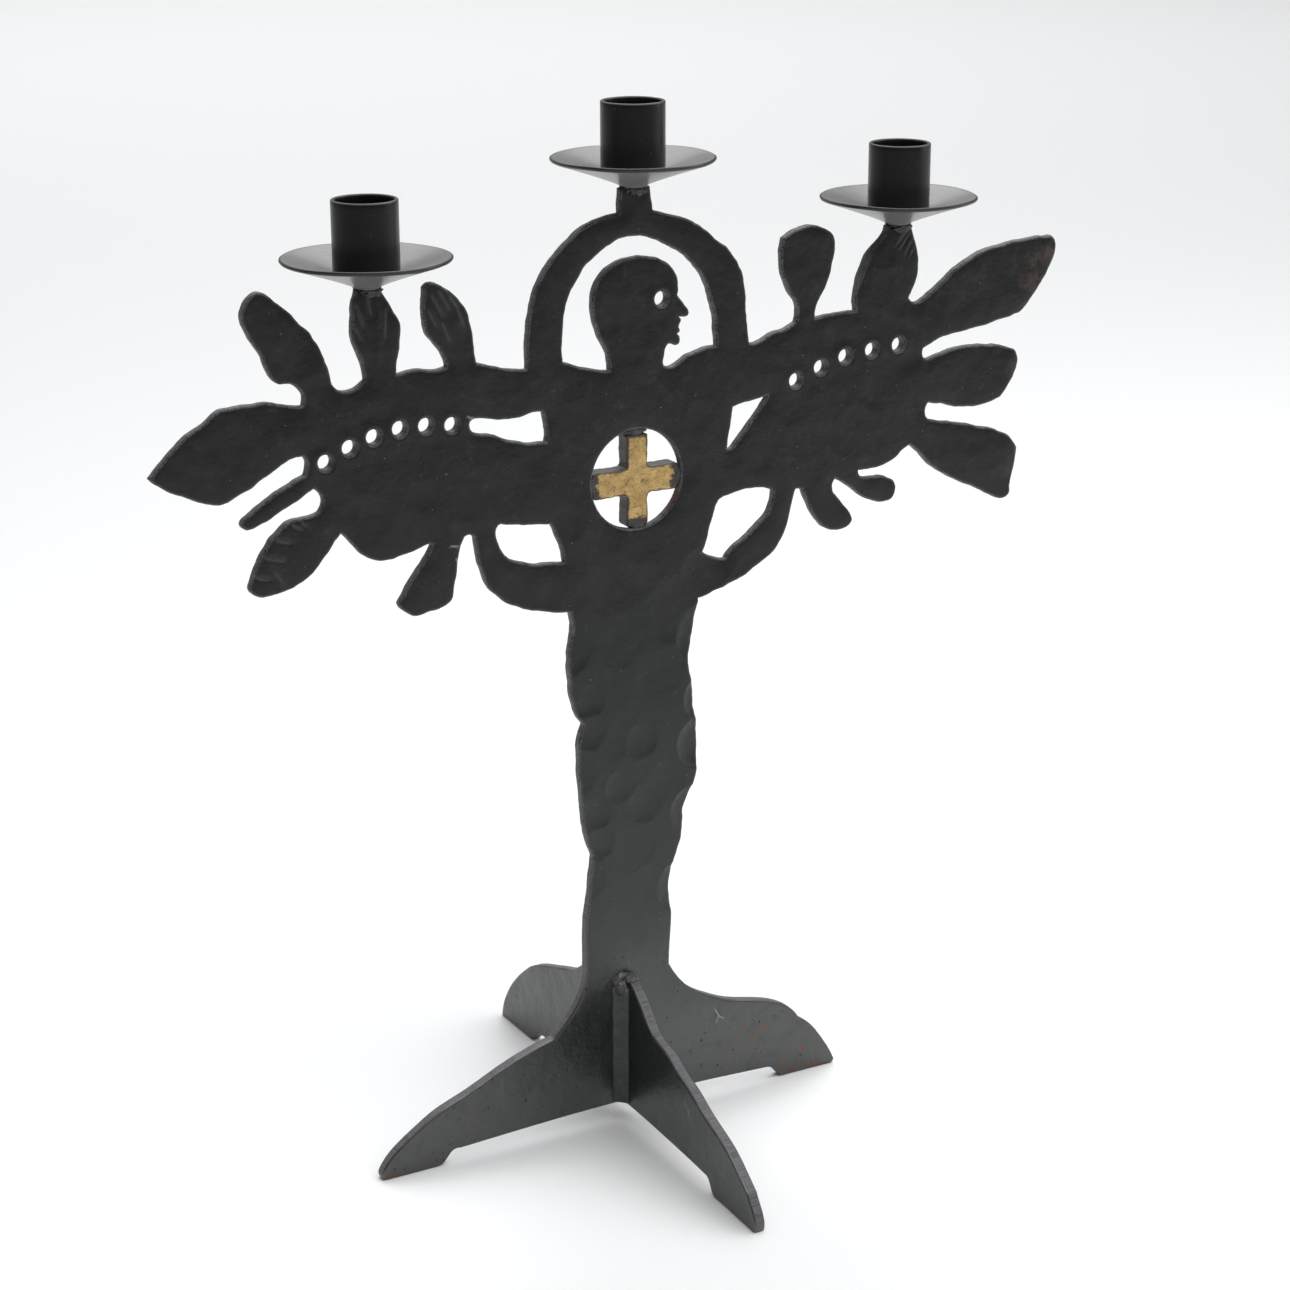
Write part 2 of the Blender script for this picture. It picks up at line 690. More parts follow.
# Chiselled strokes on the leaves: from x, z to x, z, half a width, and depth. A ridge has a negative depth.
STROKES = (
    (-154.7, 275.6, -147.6, 273.4, 0.8, 0.65), (-159.6, 269.4, -150.6, 266.9, 0.8, 0.65),
    (-164.2, 262.7, -156.8, 260.4, 0.8, 0.60), (-147.9, 280.6, -143.6, 277.6, 0.7, 0.50),
    (-144.8, 282.0, -141.4, 278.4, 0.6, 0.45), (-155.0, 262.8, -151.4, 257.4, 0.7, 0.40),
    (-118.6, 359.8, -115.6, 350.2, 0.9, 0.60), (-120.2, 344.2, -115.4, 336.6, 0.9, 0.60),
    (-119.6, 352.0, -117.0, 346.2, 0.7, 0.40), (-110.2, 362.0, -110.6, 337.0, 1.6, -0.22),
    (-114.0, 362.5, -112.6, 355.0, 0.7, 0.35), (-106.4, 357.5, -107.4, 346.0, 0.8, 0.35),
    (-88.2, 360.4, -83.0, 351.6, 0.8, 0.60), (-85.0, 362.0, -80.4, 353.8, 0.7, 0.50),
    (-81.8, 361.8, -77.0, 354.2, 0.8, 0.45), (-89.8, 355.0, -86.0, 348.0, 0.7, 0.50),
    (-77.4, 355.0, -74.6, 346.6, 0.7, 0.40), (-84.0, 349.6, -80.8, 342.0, 0.7, 0.40),
    (108.7, 358.2, 105.4, 351.2, 0.6, 0.45), (106.2, 352.6, 102.8, 345.8, 0.6, 0.35),
    (127.2, 365.2, 122.3, 358.6, 0.5, 0.45), (129.2, 363.2, 124.8, 356.2, 0.5, 0.45),
    (130.4, 360.4, 127.5, 355.6, 0.5, 0.40), (125.0, 365.4, 120.6, 360.6, 0.5, 0.35),
)
# Small pale chips and scratches: from x, z to x, z, with half a width.
SCRATCHES = (
    (36.6, 39.4, 38.2, 36.6, 0.18), (38.2, 36.6, 36.9, 33.8, 0.13), (38.0, 36.6, 40.2, 35.0, 0.14),
    (-82.3, 262.8, -79.4, 262.3, 0.20), (-79.2, 258.0, -78.7, 255.0, 0.20),
    (-80.6, 257.2, -79.6, 255.8, 0.18),
    (-74.0, 312.6, -71.6, 311.4, 0.20), (-72.0, 311.4, -70.8, 309.8, 0.16),
)


def blow_field(points, blows, depth):
    """Depth of the hammer blows in mm: the deepest blow at each point wins."""
    field = np.zeros(len(points))
    for x, y, radius, share in blows:
        squared = ((points - (x, y)) ** 2).sum(axis=1) / radius ** 2
        field = np.maximum(field, depth * share * np.clip(1.0 - squared, 0.0, 1.0) ** 0.8)
    return field


def stroke_gap(points, stroke):
    """Distance in mm from points to a straight stroke, and the place along it from 0 to 1."""
    start = np.array(stroke[:2])
    span = np.array(stroke[2:]) - start
    along = np.clip(((points - start) @ span) / (span @ span), 0.0, 1.0)
    return np.linalg.norm(points - start - along[:, None] * span, axis=1), along


def scattered_blows(loops, count, seed, lowest, depth):
    """Softer blows scattered over a plate."""
    draw = random.Random(seed)
    corner = np.concatenate(loops).min(axis=0)
    far = np.concatenate(loops).max(axis=0)
    places = np.array([[draw.uniform(corner[0], far[0]), draw.uniform(max(corner[1], lowest), far[1])]
                       for _ in range(count * 5)])
    places = places[inside(places, loops)][:count]
    return [(x, z, draw.uniform(6.0, 12.0), draw.uniform(0.25, 1.0) * depth) for x, z in places]


def ripple(points, scale, seed):
    """Slow waviness between -1 and 1."""
    return np.array([noise.noise(Vector((x / scale, y / scale, seed))) for x, y in points])


def size_of(loop):
    """Width and height of an outline."""
    return np.ptp(loop[:, 0]), np.ptp(loop[:, 1])


def hand_cut(loop):
    """The outline with the nicks and waves of hand cutting. Round holes and the feet stay clean."""
    width, height = size_of(loop)
    if abs(width - height) < 0.5:
        return loop
    waves = np.column_stack([ripple(loop, 6.5, 4.0), ripple(loop, 6.5, 12.0)]) * 0.55
    nicks = np.column_stack([ripple(loop, 2.4, 6.0), ripple(loop, 2.4, 15.0)]) * 0.20
    return loop + (waves + nicks) * np.clip((loop[:, 1:] - CUT_FROM) / 10.0, 0.0, 1.0)


def arris_drop(gaps, radius):
    """How far a rounded arris falls away from the face, at each distance from the edge."""
    short = np.clip(radius - gaps, 0.0, radius)
    return radius - np.sqrt(np.maximum(radius ** 2 - short ** 2, 0.0))


def line_points(line, shares, offsets):
    """Points at some shares along a line, with each one's neighbours at some offsets to its side."""
    start = np.array(line[:2])
    span = np.array(line[2:4]) - start
    side = np.array([-span[1], span[0]]) / np.linalg.norm(span)
    return [start + span * share + side * offset for share in shares for offset in offsets]


def figure_details(drilled):
    """Extra points along the strokes, the scratches, the rims of the blows and the countersinks."""
    points = []
    for stroke in STROKES:
        length = math.dist(stroke[:2], stroke[2:4])
        shares = np.linspace(0, 1, max(4, int(length / 0.7)))
        points += line_points(stroke, shares, [stroke[4] * share for share in (-1.0, -0.5, 0.0, 0.5, 1.0)])
    for scratch in SCRATCHES:
        shares = np.arange(-0.1, 1.11, 0.4 / math.dist(scratch[:2], scratch[2:4]))
        points += line_points(scratch, shares, [scratch[4] * share for share in (-3.0, -1.2, 0.0, 1.2, 3.0)])
    circles = [(x, z, radius + gap, 1.0)
               for x, z, radius, _ in EDGE_BLOWS + FACE_BLOWS for gap in (-0.7, 0.0, 0.5)]
    circles += [(x, z, SINK_RADIUS + gap, 0.65) for x, z in drilled for gap in (-0.5, 0.0, 0.3)]
    for x, z, radius, step in circles:
        for angle in np.linspace(0, 2 * math.pi, int(2 * math.pi * radius / step), endpoint=False):
            points.append((x + radius * math.cos(angle), z + radius * math.sin(angle)))
    return np.array(points)


def make_figure():
    """The main plate, hammered and chiselled."""
    loops = [respaced(loop, 0.55 if size_of(loop)[0] < DRILL_WIDTH else 1.15)
             for loop in flat_loops("figure_plate", 1, HALF_PLATE)]
    drilled = [loop.mean(axis=0) for loop in loops if size_of(loop)[0] < DRILL_WIDTH]
    loops = [hand_cut(loop) for loop in loops]
    settings = sizes()
    arris = settings.arris / MM
    thinning = settings.leaf_thinning / MM
    depth = settings.dent_depth / MM
    strong = EDGE_BLOWS + FACE_BLOWS
    soft = scattered_blows(loops, *SOFT_FRONT)
    back_soft = scattered_blows(loops, *SOFT_BACK)

    def skin(points, gaps):
        front = np.full(len(points), HALF_PLATE)
        near_drill = np.min([np.linalg.norm(points - centre, axis=1) for centre in drilled], axis=0)
        away = np.clip((near_drill - SINK_RADIUS) / 4.0, 0.0, 1.0)
        wing = np.clip((points[:, 1] - WING_FROM) / 12.0, 0.0, 1.0) * away
        front -= thinning * np.exp(-np.maximum(gaps, 0.0) / 3.0) * wing
        back = front.copy()
        front -= np.maximum(blow_field(points, strong, depth), blow_field(points, soft, 1.0)) * away
        edge_blows = blow_field(points, EDGE_BLOWS, 0.3 * depth)
        back -= np.maximum(blow_field(points, back_soft, 1.0), edge_blows) * away
        roughness = 0.10 * np.clip(points[:, 1] / 90.0, 0.25, 1.0)
        front -= roughness * (1 + ripple(points, 14.0, 3.1))
        back -= roughness * (1 + ripple(points, 14.0, 8.3))
        rounding = np.where(near_drill < KEPT_RING, 0.0, arris_drop(gaps, arris))
        front -= rounding
        back -= rounding
        scar = np.zeros(len(points))
        for stroke in STROKES:
            gap, along = stroke_gap(points, stroke[:4])
            half, deep = stroke[4:]
            fade = 0.35 + 0.65 * np.sqrt(np.clip(np.minimum(along, 1.0 - along) * 4.0, 0.0, 1.0))
            front -= deep * fade * np.clip(1.0 - gap / half, 0.0, 1.0)
            if deep > 0:
                scar = np.maximum(scar, 0.20 * fade * np.clip(1.2 - gap / half, 0.0, 1.0))
        for centre in drilled:
            reach = np.linalg.norm(points - centre, axis=1)
            front -= np.clip(SINK_RADIUS - reach, 0.0, 1.0)
        for scratch in SCRATCHES:
            gap, _ = stroke_gap(points, scratch[:4])
            scar = np.maximum(scar, np.clip(1.5 - gap / scratch[4] * 0.5, 0.0, 1.0))
        return front, back, scar

    def place(point, height):
        return (point[0] * MM, height * MM, point[1] * MM)

    details = figure_details(drilled)
    verts, faces, kinds, values = plate_mesh(loops, details, skin, 4, settings.mesh_step / MM, place)
    add_piece("hammered_figure", verts, faces, ("painted steel", "cut edge"), ("figure_plate",),
              kinds, values)


def make_foot(name, node, lean, seed):
    """A foot plate square to the trunk, with a worn top edge."""
    low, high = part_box(node)
    middle = (low.x + high.x) / 2 / MM
    loops = [respaced(loop, 1.0) for loop in flat_loops(node, 0, round(high.x / MM, 3))]
    settings = sizes()
    arris = settings.arris / MM
    soft = scattered_blows(loops, 14, seed, 0.0, 0.12)

    def skin(points, gaps):
        rounding = arris_drop(gaps, arris)
        front = HALF_PLATE - rounding - 0.07 * (1 + ripple(points, 12.0, seed))
        back = HALF_PLATE - rounding - 0.07 * (1 + ripple(points, 12.0, seed + 5.0))
        front -= blow_field(points, soft, 1.0)
        scar = np.zeros(len(points))
        if lean:
            gap, _ = stroke_gap(points, FOOT_SCUFF)
            scar = np.clip(1.0 - gap / 0.9, 0.0, 1.0)
        return front, back, scar

    def place(point, height):
        share = max(0.0, abs(point[0]) - 8.0) / 105.0
        return ((middle + height) * MM - lean * share, point[0] * MM, point[1] * MM)

    details = np.empty((0, 2))
    verts, faces, kinds, values = plate_mesh(loops, details, skin, 5, settings.mesh_step / MM, place)
    add_piece(name, verts, faces, ("painted steel", "foot cut edge"), (node,), kinds, values)


# ---------------------------------------------------------------- chest cross
# The top arm stops this far short of the hole's rim, in mm.
TOP_GAP = 2.6
# Rounds of smoothing that soften the cross's outline, and how far it wanders, in mm.
SOFTENING = 7
WANDER = 0.28
# A casting pit in the cross's face: place across and up, depth and radius.
PIT_PLACE = (2.6, 277.4)
PIT_DEPTH = 0.7
PIT_RADIUS = 1.6
# Braze lumps at the arms' ends: offsets from the cross's centre, with y from its face, and radii, seed.
BRAZE_LUMPS = (
    ((19.4, 1.1, -1.2), (1.6, 1.5, 3.9), 1.0),
    ((-19.4, 1.1, -1.2), (1.5, 1.4, 3.9), 2.0),
    ((0.4, 2.2, 19.4), (5.2, 2.6, 2.3), 3.0),
    ((1.0, 1.1, -19.4), (3.8, 1.6, 1.7), 4.0),
)


def middle_of(node):
    """Middle of a node's box across and deep, and its lowest and highest level, in mm."""
    low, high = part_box(node)
    return (low.x + high.x) / 2 / MM, (low.y + high.y) / 2 / MM, low.z / MM, high.z / MM


def make_cross_piece():
    """The brass cross with uneven, softened edges."""
    low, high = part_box("chest_cross")
    front_level = low.y / MM
    back_level = high.y / MM
    loops = [respaced(loop, 0.6) for loop in flat_loops("chest_cross", 1, round(back_level, 3))]
    top = loops[0][:, 1].max() - TOP_GAP
    for loop in loops:
        loop[:, 1] = np.minimum(loop[:, 1], top)
        for _ in range(SOFTENING):
            loop += ((np.roll(loop, 1, axis=0) + np.roll(loop, -1, axis=0)) / 2 - loop) * 0.8
    loops = [loop + WANDER * np.column_stack([ripple(loop, 2.6, 2.0), ripple(loop, 2.6, 9.0)])
             for loop in loops]
    half = (back_level - front_level) / 2
    middle = (back_level + front_level) / 2
    arris = sizes().arris / MM

    def skin(points, gaps):
        rounding = arris_drop(gaps, arris)
        front = half - rounding - 0.16 * (1 + ripple(points, 3.2, 1.0))
        from_pit = ((points - PIT_PLACE) ** 2).sum(axis=1)
        front -= PIT_DEPTH * np.clip(1.0 - from_pit / PIT_RADIUS ** 2, 0.0, 1.0)
        back = half - rounding - 0.12 * (1 + ripple(points, 4.0, 6.0))
        return front, back, np.zeros(len(points))

    def place(point, height):
        return (point[0] * MM, (middle + height) * MM, point[1] * MM)

    verts, faces, _, values = plate_mesh(loops, np.empty((0, 2)), skin, 5, 0.9, place)
    add_piece("brass_cross", verts, faces, ("brass",), ("chest_cross",), None, values)


def lump(centre, radii, seed, rough=0.22):
    """Vertices and faces of an uneven weld lump, in metres."""
    work = bmesh.new()
    bmesh.ops.create_icosphere(work, subdivisions=4, radius=1.0)
    for vertex in work.verts:
        bulge = 1.0 + rough * noise.fractal(vertex.co * 2.3 + Vector((seed, seed, seed)), 0.6, 2.0, 3)
        vertex.co = Vector([vertex.co[i] * radii[i] * bulge * MM + centre[i] * MM for i in range(3)])
    verts = [tuple(vertex.co) for vertex in work.verts]
    faces = [tuple(vertex.index for vertex in face.verts) for face in work.faces]
    work.free()
    return verts, faces


def add_lumps(name, lumps, node):
    """One weld piece made of several lumps."""
    verts = []
    faces = []
    for more_verts, more_faces in lumps:
        start = len(verts)
        verts += more_verts
        faces += [tuple(start + i for i in face) for face in more_faces]
    add_piece(name, verts, faces, ("weld",), (node,))


def make_braze_spots():
    """Four small braze lumps between the cross and the wall of the hole."""
    x, _, low, high = middle_of("chest_cross")
    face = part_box("chest_cross")[0].y / MM
    centre = (x, face, (low + high) / 2)
    add_lumps("braze_spots", [lump([a + b for a, b in zip(centre, offset)], radii, seed)
                              for offset, radii, seed in BRAZE_LUMPS], "cross_braze")


# ---------------------------------------------------------------- turned pieces
PAN_RADIUS = 32.0
TURNS = 128
# Half the section of a pan, from the middle of its underside round the rim to the middle of its top.
PAN_PROFILE = [
    (0.05, 0.0), (4.3, 0.0), (5.0, 0.25), (5.6, 0.75), (7.0, 1.45), (10.0, 2.65), (15.0, 4.5),
    (20.0, 6.25), (26.0, 8.25), (30.6, 9.75), (31.6, 10.2), (PAN_RADIUS, 10.75), (31.95, 11.3), (31.5, 11.6),
    (30.9, 11.5), (26.0, 9.95), (20.0, 8.0), (15.0, 6.3), (12.0, 5.3), (8.0, 4.1), (4.0, 3.4), (0.05, 3.2),
]
# A candle tube's wall in mm, and its foot's depth in the pan.
TUBE_OUTER = 12.5
TUBE_INNER = 11.0
TUBE_FOOT = -0.4
# Its rounded lip: radius, and distance below the top.
TUBE_LIP = ((12.5, 0.7), (12.42, 0.35), (12.15, 0.1), (11.75, 0.0), (11.35, 0.1), (11.08, 0.35), (11.0, 0.7))
# Section of the braze ring at a tube's foot.
BRAZE_RING = [(12.3, -0.6), (13.7, 0.1), (13.4, 0.55), (12.9, 0.95), (12.4, 1.3)]


def turned(profile, centre, seat, wobble, seed):
    """Turn a closed profile of (radius, height) pairs, in mm, round an upright axis."""
    verts = []
    faces = []
    count = len(profile)
    for turn in range(TURNS):
        angle = 2 * math.pi * turn / TURNS
        way = Vector((math.cos(angle), math.sin(angle), 0.0))
        sway = wobble * noise.noise(way * 1.3 + Vector((seed, 0.0, 0.0)))
        for radius, height in profile:
            share = radius / PAN_RADIUS
            out = radius + 0.3 * sway * share
            verts.append(((centre[0] + out * way.x) * MM, (centre[1] + out * way.y) * MM,
                          (seat + height + sway * share) * MM))
    for turn in range(TURNS):
        following = (turn + 1) % TURNS
        for i in range(count):
            j = (i + 1) % count
            faces.append((turn * count + i, following * count + i, following * count + j, turn * count + j))
    return verts, faces


def dense_profile(corners, step):
    """The same closed profile with more points on its long sides."""
    profile = []
    for (r0, h0), (r1, h1) in zip(corners, corners[1:] + corners[:1]):
        pieces = max(1, int(math.hypot(r1 - r0, h1 - h0) / step))
        profile += [(r0 + (r1 - r0) * i / pieces, h0 + (h1 - h0) * i / pieces) for i in range(pieces)]
    return profile


def make_pans():
    """Three spun cone pans, each with a soft rim and a short neck."""
    profile = dense_profile(PAN_PROFILE, 1.5)
    for number, side in enumerate(SIDES):
        node = f"drip_pan_{side}"
        x, y, seat, _ = middle_of(node)
        verts, faces = turned(profile, (x, y), seat, 0.35, 3.0 + number)
        values = {"lip": [1.0 if radius > 31.2 else 0.0 for radius, _ in profile] * TURNS}
        add_piece(f"spun_pan_{side}", verts, faces, ("pan paint",), (node,), None, values)


def make_tubes():
    """Three candle tubes with thin rounded lips, and a ring of braze at each foot."""
    for number, side in enumerate(SIDES):
        node = f"candle_socket_{side}"
        x, y, seat, top = middle_of(node)
        tall = top - seat
        corners = [(TUBE_OUTER, TUBE_FOOT)] + [(radius, tall - below) for radius, below in TUBE_LIP]
        profile = dense_profile(corners + [(TUBE_INNER, TUBE_FOOT)], 2.0)
        verts, faces = turned(profile, (x, y), seat, 0.12, 13.0 + number)
        values = {"lip": [1.0 if height > tall - 0.6 else 0.0 for _, height in profile] * TURNS}
        add_piece(f"candle_tube_{side}", verts, faces, ("tube paint",), (node,), None, values)
        verts, faces = turned(dense_profile(BRAZE_RING, 0.5), (x, y), seat, 0.3, 23.0 + number)
        values = {"lip": [0.0] * len(verts)}
        add_piece(f"braze_ring_{side}", verts, faces, ("pan paint",), (f"socket_braze_{side}",),
                  None, values)


# ---------------------------------------------------------------- welds
BEAD_ROWS = 90
BEAD_ACROSS = 10
BEAD_LEG = 5.6 * MM
# How far a bead's back is sunk into the corner, and how far it runs past its CAD solid at each end.
BEAD_SINK = 0.4 * MM
BEAD_SHIFT = 0.3 * MM
BEAD_BELOW = 1.0 * MM
BEAD_ABOVE = 3.0 * MM
# Lumps on top of a foot plate: offsets in mm, with y away from the trunk and z from its top, radii,
# step of the seed, and roughness.
CAP_LUMPS = (
    ((-2.8, 2.2, -2.8), (4.4, 2.2, 3.4), 0, 0.16),
    ((2.2, 2.4, -3.6), (2.8, 2.1, 3.0), 3, 0.16),
    ((-0.4, 5.0, -1.5), (2.7, 3.6, 1.5), 6, 0.2),
    ((-3.0, 3.6, -6.0), (3.8, 3.0, 4.0), 9, 0.14),
)
# Lumps under a pan: offsets from the middle of its underside, radii, seed and roughness.
PAN_LUMPS = (
    ((0.6, -2.3, -1.0), (4.0, 2.2, 2.1), 31.0, 0.35),
    ((0.0, 0.0, -0.2), (4.6, 3.6, 1.3), 35.0, 0.3),
    ((-0.4, 2.3, -1.0), (4.0, 2.2, 2.2), 39.0, 0.35),
)


def make_weld_strip(name, node, away_x, away_y, seed):
    """An upright fillet weld: a hollow-faced strip with slow ripples and a wavy outline."""
    low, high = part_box(node)
    corner_x = low.x if away_x > 0 else high.x
    corner_y = low.y if away_y > 0 else high.y
    verts = []
    for row in range(BEAD_ROWS + 1):
        share = row / BEAD_ROWS
        z = low.z - BEAD_BELOW + (high.z - low.z + BEAD_BELOW + BEAD_ABOVE) * share
        swell = 1.0 + 0.12 * noise.noise(Vector((seed, 0.0, share * 7.0)))
        swell *= 1.0 - 0.55 * max(0.0, 1.0 - min(share, 1.0 - share) / 0.02)
        crest = 0.015 * math.sin(row * 0.9)
        for step in range(BEAD_ACROSS + 1):
            angle = math.pi / 2 * step / BEAD_ACROSS
            hollow = 1.0 - (0.30 - crest) * math.sin(2 * angle)
            reach = BEAD_LEG * swell * hollow
            verts.append((corner_x + away_x * (reach * math.cos(angle) - BEAD_SHIFT),
                          corner_y + away_y * (reach * math.sin(angle) - BEAD_SHIFT), z))
        verts.append((corner_x - away_x * BEAD_SINK, corner_y - away_y * BEAD_SINK, z))
    ring = BEAD_ACROSS + 2
    faces = []
    for row in range(BEAD_ROWS):
        for i in range(ring):
            j = (i + 1) % ring
            faces.append((row * ring + i, row * ring + j, (row + 1) * ring + j, (row + 1) * ring + i))
    faces.append(tuple(range(ring)))
    faces.append(tuple(BEAD_ROWS * ring + i for i in reversed(range(ring))))
    add_piece(name, verts, faces, ("weld",), (node,))


def make_weld_cap(name, node, away_y, seed):
    """The rough lump at the top of a foot plate."""
    x, _, _, top = middle_of("front_foot" if away_y < 0 else "back_foot")
    add_lumps(name, [lump((x + across, away_y * out, top + up), radii, seed + step, rough)
                     for (across, out, up), radii, step, rough in CAP_LUMPS], node)


def make_pan_welds():
    """Weld spots under the pans, on both faces of the plate."""
    for number, side in enumerate(SIDES):
        x, _, seat, _ = middle_of(f"drip_pan_{side}")
        add_lumps(f"pan_weld_lump_{side}", [lump((x + across, out, seat + up), radii, seed + number, rough)
                                            for (across, out, up), radii, seed, rough in PAN_LUMPS],
                  f"pan_weld_{side}")


# ---------------------------------------------------------------- stage
# The floor's half-width, the start and radius of its sweep at the back, and the backdrop's top, in metres.
FLOOR_HALF = 18.0
SWEEP_START = 7.0
SWEEP_RADIUS = 3.0
SWEEP_STEPS = 24
BACKDROP_TOP = 7.0
# Where the room is brightest: behind, above and to the right.
BRIGHT_SIDE = (0.25, 0.85, 0.46)
# Soft square lamps: name, place, target, size in metres and power in watts.
LAMPS = (
    ("overhead lamp", (0.40, -0.36, 1.35), (0.10, -0.05, 0.0), 2.2, 26.0),
    ("back lamp", (1.5, 4.0, 4.0), (1.5, 3.8, 0.0), 5.0, 178.0),
    ("right lamp", (2.3, -0.8, 0.8), (0.0, 0.0, 0.2), 1.2, 5.0),
)


def make_floor():
    """A wide pale floor that sweeps up at the back."""
    rows = [(-FLOOR_HALF, 0.0), (0.0, 0.0)]
    for step in range(SWEEP_STEPS + 1):
        angle = math.pi / 2 * step / SWEEP_STEPS
        rows.append((SWEEP_START + SWEEP_RADIUS * math.sin(angle), SWEEP_RADIUS * (1 - math.cos(angle))))
    rows.append((SWEEP_START + SWEEP_RADIUS, BACKDROP_TOP))
    verts = []
    for y, z in rows:
        verts += [(-FLOOR_HALF, y, z), (FLOOR_HALF, y, z)]
    faces = [(2 * i, 2 * i + 1, 2 * i + 3, 2 * i + 2) for i in range(len(rows) - 1)]
    mesh = bpy.data.meshes.new("floor")
    mesh.from_pydata(verts, [], faces)
    mesh.polygons.foreach_set("use_smooth", [True] * len(mesh.polygons))
    floor = bpy.data.objects.new("floor", mesh)
    bpy.context.scene.collection.objects.link(floor)
    paper = Finish("pale paper")
    tone = tuple(bpy.context.scene.candelabra_stage.floor_colour)
    paper.feed("Base Color", paper.mix(paper.grain(2.0) * 0.05, tone, PAPER_SHADE))
    paper.feed("Roughness", 0.75)
    paper.feed("Specular IOR Level", 0.2)
    mesh.materials.append(paper.material)


def add_lamp(name, place, target, size, power):
    """A square soft lamp that looks at a target."""
    lamp = bpy.data.lights.new(name, "AREA")
    lamp.shape = "SQUARE"
    lamp.size = size
    lamp.energy = power
    holder = bpy.data.objects.new(name, lamp)
    holder.location = place
    holder.rotation_euler = (Vector(target) - Vector(place)).to_track_quat("-Z", "Y").to_euler()
    bpy.context.scene.collection.objects.link(holder)


def make_camera():
    stage = bpy.context.scene.candelabra_stage
    lens = bpy.data.cameras.new("camera")
    lens.sensor_width = 36.0
    lens.lens = stage.lens
    lens.clip_start = 0.01
    lens.clip_end = 100.0
    camera = bpy.data.objects.new("camera", lens)
    camera.location = stage.camera_place
    sight = Vector(stage.camera_target) - Vector(stage.camera_place)
    turn = sight.to_track_quat("-Z", "Y") @ Quaternion((0.0, 0.0, 1.0), stage.camera_roll)
    camera.rotation_mode = "QUATERNION"
    camera.rotation_quaternion = turn
    bpy.context.scene.collection.objects.link(camera)
    bpy.context.scene.camera = camera


def make_world():
    """Soft light from behind and above; the front of the room is dim."""
    stage = bpy.context.scene.candelabra_stage
    world = bpy.data.worlds.new("studio")
    world.use_nodes = True
    sky = Nodes(world.node_tree)
    way = sky.node("ShaderNodeTexCoord")["Generated"]
    facing = sky.node("ShaderNodeVectorMath", {"operation": "DOT_PRODUCT"}, {0: way, 1: BRIGHT_SIDE})["Value"]
    background = sky.tree.nodes["Background"]
    sky.give(background, "Strength", facing.above(-0.25, 0.65, stage.room_light, stage.backdrop_light))
    sky.give(background, "Color", (0.985, 0.99, 1.0, 1.0))
    bpy.context.scene.world = world


# ---------------------------------------------------------------- operators
class CANDELABRA_OT_stage(bpy.types.Operator):
    """Set up the camera, the pale floor and the soft lamps"""
    bl_idname = "candelabra.stage"
    bl_label = "Stage"

    def execute(self, context):
        context.scene.view_settings.view_transform = "Standard"
        make_camera()
        make_world()
        make_floor()
        for lamp in LAMPS:
            add_lamp(*lamp)
        return {"FINISHED"}


class CANDELABRA_OT_figure(bpy.types.Operator):
    """Build the hammered main plate"""
    bl_idname = "candelabra.figure"
    bl_label = "Figure plate"

    def execute(self, context):
        make_figure()
        return {"FINISHED"}


class CANDELABRA_OT_feet(bpy.types.Operator):
    """Build the front and back foot plates"""
    bl_idname = "candelabra.feet"
    bl_label = "Foot plates"

    def execute(self, context):
        make_foot("front_foot_plate", "front_foot", sizes().front_lean, 4)
        make_foot("back_foot_plate", "back_foot", 0.0, 11)
        return {"FINISHED"}


class CANDELABRA_OT_cross(bpy.types.Operator):
    """Build the brass cross and its braze spots"""
    bl_idname = "candelabra.cross"
    bl_label = "Chest cross"

    def execute(self, context):
        make_cross_piece()
        make_braze_spots()
        return {"FINISHED"}


class CANDELABRA_OT_pans(bpy.types.Operator):
    """Build the three drip pans"""
    bl_idname = "candelabra.pans"
    bl_label = "Drip pans"

    def execute(self, context):
        make_pans()
        return {"FINISHED"}


class CANDELABRA_OT_tubes(bpy.types.Operator):
    """Build the three candle tubes and the braze at their feet"""
    bl_idname = "candelabra.tubes"
    bl_label = "Candle tubes"

    def execute(self, context):
        make_tubes()
        return {"FINISHED"}


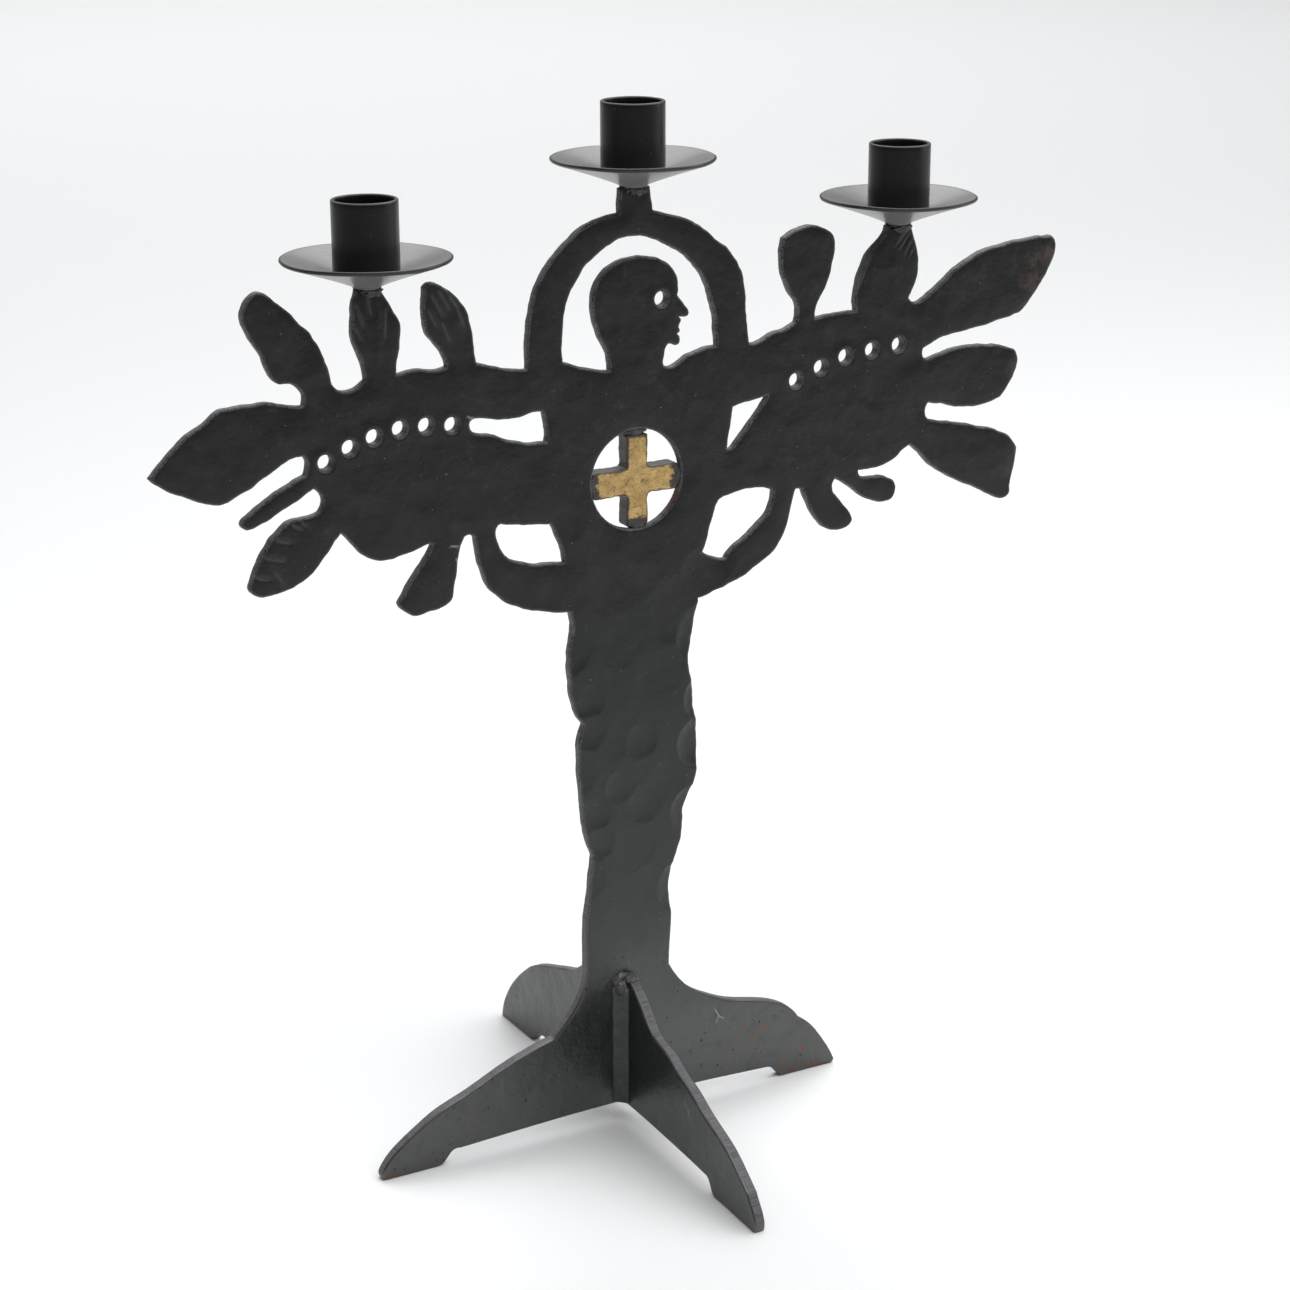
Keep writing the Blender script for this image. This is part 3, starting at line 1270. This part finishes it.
class CANDELABRA_OT_welds(bpy.types.Operator):
    """Build the weld beads and lumps"""
    bl_idname = "candelabra.welds"
    bl_label = "Welds"

    def execute(self, context):
        for end, away_y in (("front", -1), ("back", 1)):
            for hand, away_x in (("left", -1), ("right", 1)):
                seed = away_x + 3 * away_y
                make_weld_strip(f"{end}_{hand}_bead", f"{end}_weld_{hand}", away_x, away_y, seed)
            make_weld_cap(f"{end}_lump", f"{end}_weld_cap", away_y, 50.0 + away_y)
        make_pan_welds()
        return {"FINISHED"}


class VIEW3D_PT_candelabra(bpy.types.Panel):
    """Buttons for each part of the candelabra"""
    bl_label = "Candelabra"
    bl_space_type = "VIEW_3D"
    bl_region_type = "UI"
    bl_category = "Candelabra"

    def draw(self, context):
        for group in ("candelabra_sizes", "candelabra_finish", "candelabra_stage"):
            settings = getattr(context.scene, group)
            for key in settings.__annotations__:
                self.layout.prop(settings, key)
        for operator in OPERATORS:
            self.layout.operator(operator.bl_idname)


GROUPS = {
    "candelabra_sizes": CandelabraSizes,
    "candelabra_finish": CandelabraFinish,
    "candelabra_stage": CandelabraStage,
}
OPERATORS = (
    CANDELABRA_OT_stage,
    CANDELABRA_OT_figure,
    CANDELABRA_OT_feet,
    CANDELABRA_OT_cross,
    CANDELABRA_OT_pans,
    CANDELABRA_OT_tubes,
    CANDELABRA_OT_welds,
)


def register():
    for kind in (*GROUPS.values(), *OPERATORS, VIEW3D_PT_candelabra):
        bpy.utils.register_class(kind)
    for name, kind in GROUPS.items():
        setattr(bpy.types.Scene, name, bpy.props.PointerProperty(type=kind))


def unregister():
    for name in GROUPS:
        delattr(bpy.types.Scene, name)
    for kind in reversed((*GROUPS.values(), *OPERATORS, VIEW3D_PT_candelabra)):
        bpy.utils.unregister_class(kind)


def main():
    register()
    bpy.ops.candelabra.stage()
    bpy.ops.candelabra.figure()
    bpy.ops.candelabra.feet()
    bpy.ops.candelabra.cross()
    bpy.ops.candelabra.pans()
    bpy.ops.candelabra.tubes()
    bpy.ops.candelabra.welds()


if __name__ == "__main__":
    main()
